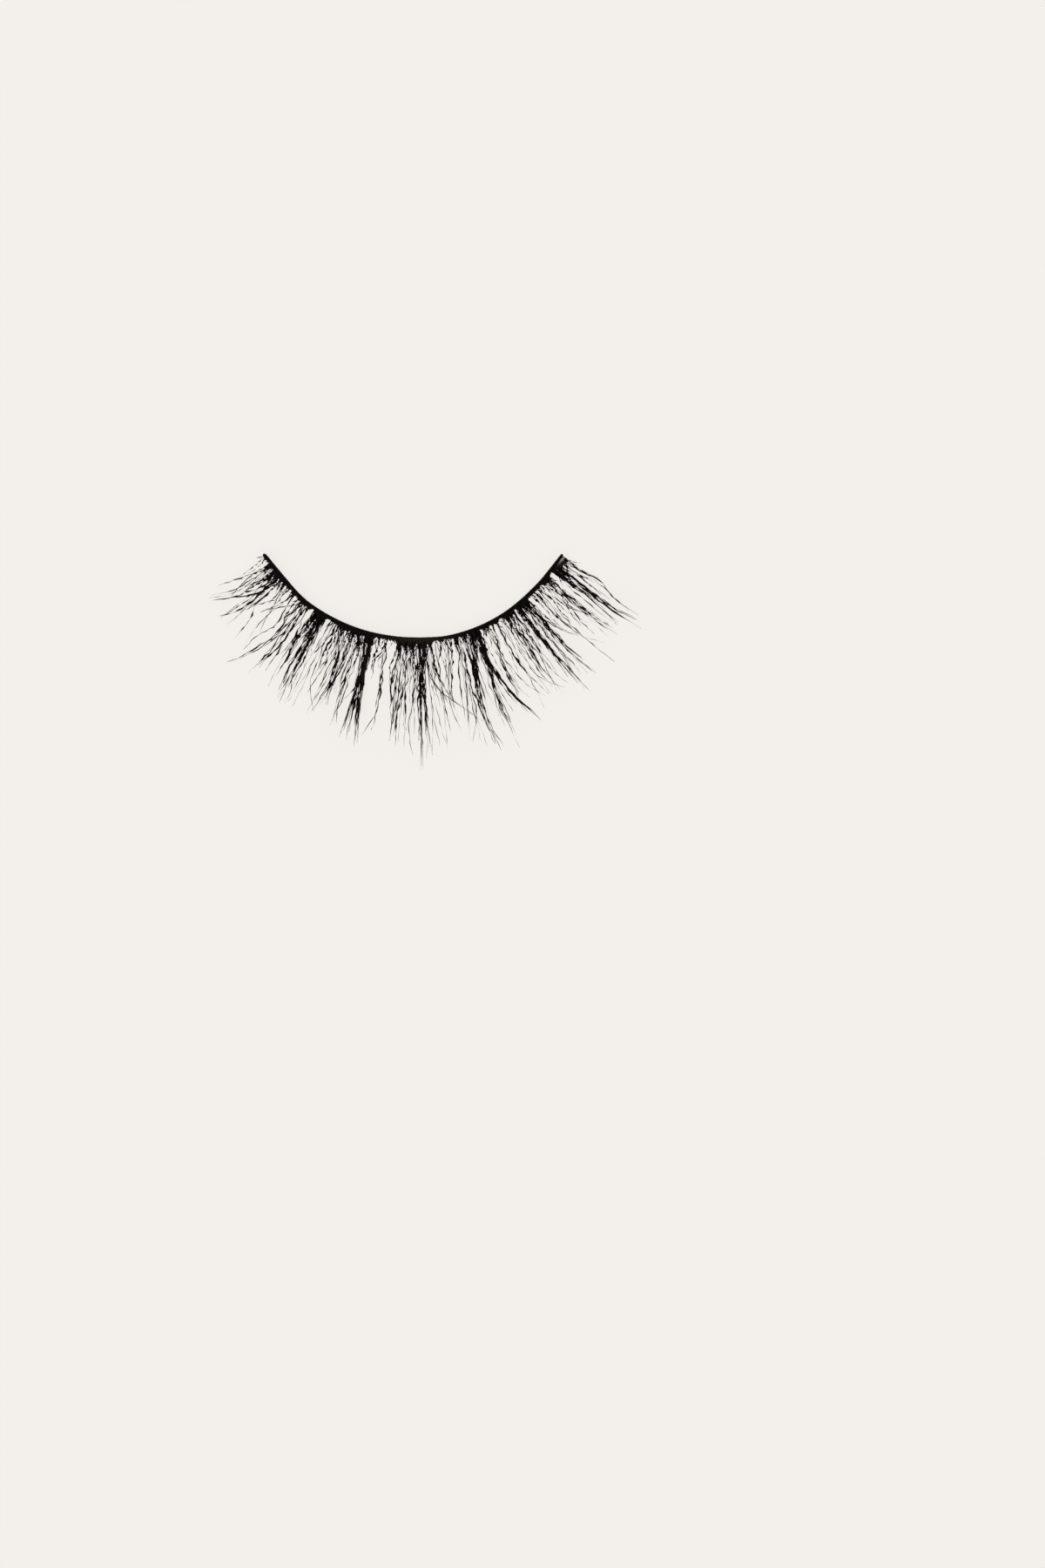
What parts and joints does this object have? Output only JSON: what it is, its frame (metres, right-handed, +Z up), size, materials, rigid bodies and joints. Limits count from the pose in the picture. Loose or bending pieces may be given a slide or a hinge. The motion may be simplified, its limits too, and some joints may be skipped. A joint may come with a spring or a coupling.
{
  "type": "false eyelash strip",
  "caption": "Strip of false upper eyelashes: a curved black band with spiky tufts of curled black hair, longest at the middle.",
  "frame": {"origin": "bottom centre of the strip's box, on the surface that it lies on", "axes": "+X along the band's chord, +Y towards the eyelid, which the band's hollow side follows, so the hair fans towards -Y, +Z up, the way the hair curls"},
  "size_m": [0.0402, 0.0212, 0.0054],
  "materials": {
    "band": "black cotton cord soaked in glue, satin, with fine brown binding stitches",
    "hair": "black synthetic hair with a soft sheen and a warm brown cast where it is thin"
  },
  "bodies": {
    "root": {"band": "band", "short_tuft_1": "hair", "long_tuft_1": "hair", "short_tuft_2": "hair", "long_tuft_2": "hair", "long_tuft_3": "hair", "short_tuft_3": "hair", "long_tuft_4": "hair", "long_tuft_5": "hair", "short_tuft_4": "hair", "long_tuft_6": "hair", "short_tuft_5": "hair", "long_tuft_7": "hair", "long_tuft_8": "hair", "short_tuft_6": "hair", "long_tuft_9": "hair", "long_tuft_10": "hair", "short_tuft_7": "hair", "long_tuft_11": "hair", "long_tuft_12": "hair", "short_tuft_8": "hair"}
  },
  "joints": []
}
